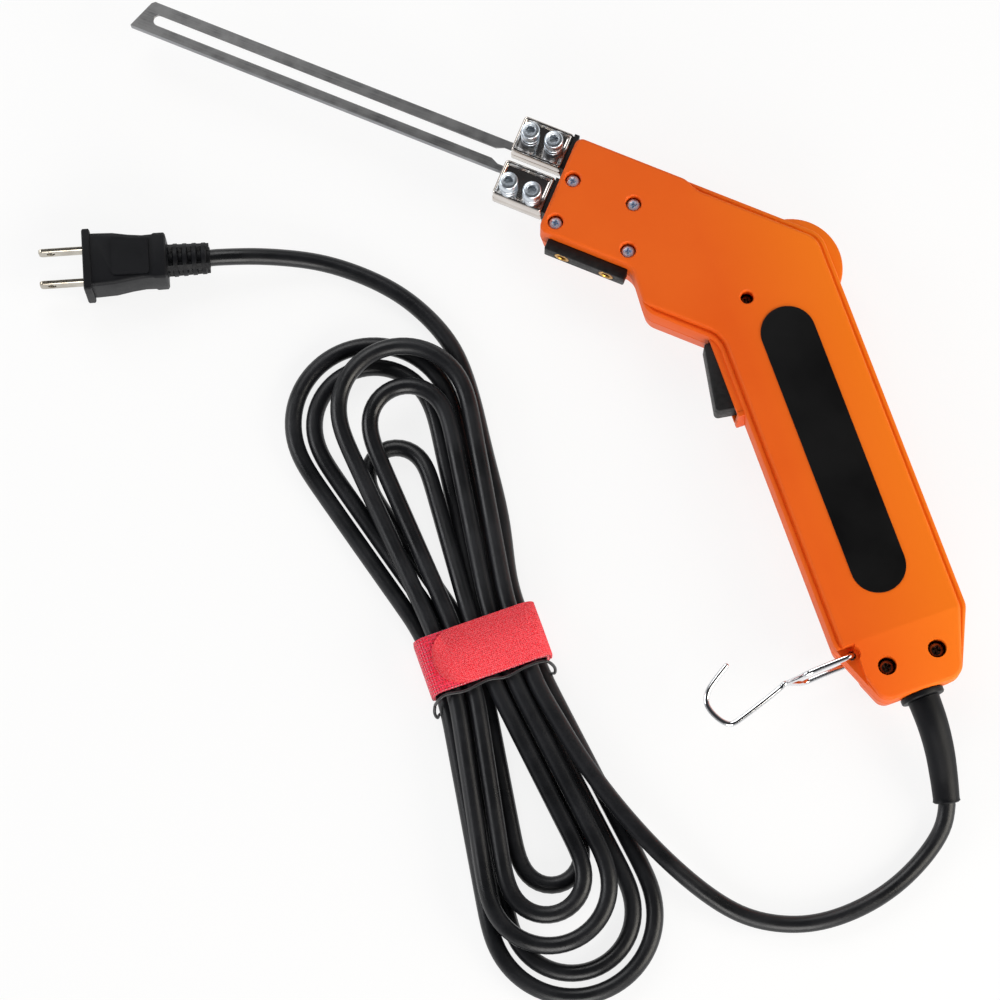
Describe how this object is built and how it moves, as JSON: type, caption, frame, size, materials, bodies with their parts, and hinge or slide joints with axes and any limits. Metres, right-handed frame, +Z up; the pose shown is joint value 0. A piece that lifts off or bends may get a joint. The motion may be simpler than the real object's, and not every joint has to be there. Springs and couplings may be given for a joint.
{
  "type": "electric hot knife",
  "caption": "Hand-held electric hot knife with a long twin-leg heated blade, screw clamps, angled pistol handle, swinging hang hook and a tied mains cord.",
  "frame": {"origin": "middle of the tool's own bounding box (blade tip to strain relief, cord left out) on the table it lies on", "axes": "+X along the blade from its tip to the rear of the head, +Y across the head away from the handle, +Z up from the table through the flat of the tool"},
  "size_m": [0.4051, 0.309, 0.0329],
  "materials": {
    "orange_shell": "glossy injection-moulded orange plastic",
    "label_black": "glossy black film, bare",
    "zinc_steel": "zinc-plated steel",
    "black_steel": "blackened steel",
    "black_plastic": "black moulded plastic",
    "nickel": "nickel-plated brass, polished",
    "blade_steel": "dark ground steel strip",
    "brass": "plain brass",
    "spring_steel": "drawn spring wire",
    "red_plastic": "red moulded plastic",
    "core_steel": "stacked steel laminations",
    "former_plastic": "pale moulded nylon",
    "copper": "enamelled and plain copper",
    "wire_brown": "brown insulation",
    "wire_blue": "blue insulation",
    "wire_black": "black insulation",
    "black_rubber": "satin black rubber",
    "bright_wire": "bright plated wire",
    "strap_red": "red hook-and-loop band",
    "tie_black": "black coated wire"
  },
  "bodies": {
    "housing": {"near_shell": "orange_shell", "far_shell": "orange_shell", "label_plate": "label_black", "zinc_screws": "zinc_steel", "black_screws": "black_steel", "terminal_block": "black_plastic", "upper_terminal": "nickel", "lower_terminal": "nickel", "upper_clamp_plate": "nickel", "lower_clamp_plate": "nickel", "clamp_screws": "zinc_steel", "clamp_bushes": "zinc_steel", "spring_washers": "zinc_steel", "blade": "blade_steel", "guide_bar": "black_plastic", "guide_inserts": "brass", "trigger_pin": "zinc_steel", "trigger_spring": "spring_steel", "switch_body": "black_plastic", "switch_tabs": "brass", "transformer_core": "core_steel", "coil_former": "former_plastic", "primary_winding": "copper", "secondary_loop": "copper", "cord_saddle": "former_plastic", "saddle_screws": "zinc_steel", "inner_cord": "black_rubber", "line_wire": "wire_brown", "neutral_wire": "wire_blue", "coil_wire": "wire_black", "strain_relief": "black_rubber", "cord_lead": "black_rubber", "cord_hank": "black_rubber", "cord_tail": "black_rubber", "plug_body": "black_rubber", "plug_prongs": "nickel", "strap": "strap_red", "wire_tie": "tie_black"},
    "trigger": {"trigger": "black_plastic"},
    "switch_plunger": {"switch_plunger": "red_plastic"},
    "hook": {"hook": "bright_wire"}
  },
  "joints": [
    {"name": "trigger_hinge", "type": "hinge", "parent": "housing", "child": "trigger", "pos_m": [0.0593, 0.03946, 0.018], "axis": [0, 0, 1], "range_deg": [0, 9], "stiffness_Nm_per_rad": 0.6, "springref_deg": -5.73, "deforming": ["trigger_spring"]},
    {"name": "plunger_slide", "type": "slide", "parent": "housing", "child": "switch_plunger", "axis": [0.7431, 0.6691, 0], "range_m": [0, 0.003]},
    {"name": "hook_swing", "type": "hinge", "parent": "housing", "child": "hook", "pos_m": [0.14462, -0.05515, 0.0175], "axis": [0, 0, 1], "range_deg": [-15, 80]}
  ],
  "couplings": [
    {"joint": "plunger_slide", "follows": "trigger_hinge", "m_per_rad": 0.0185}
  ]
}
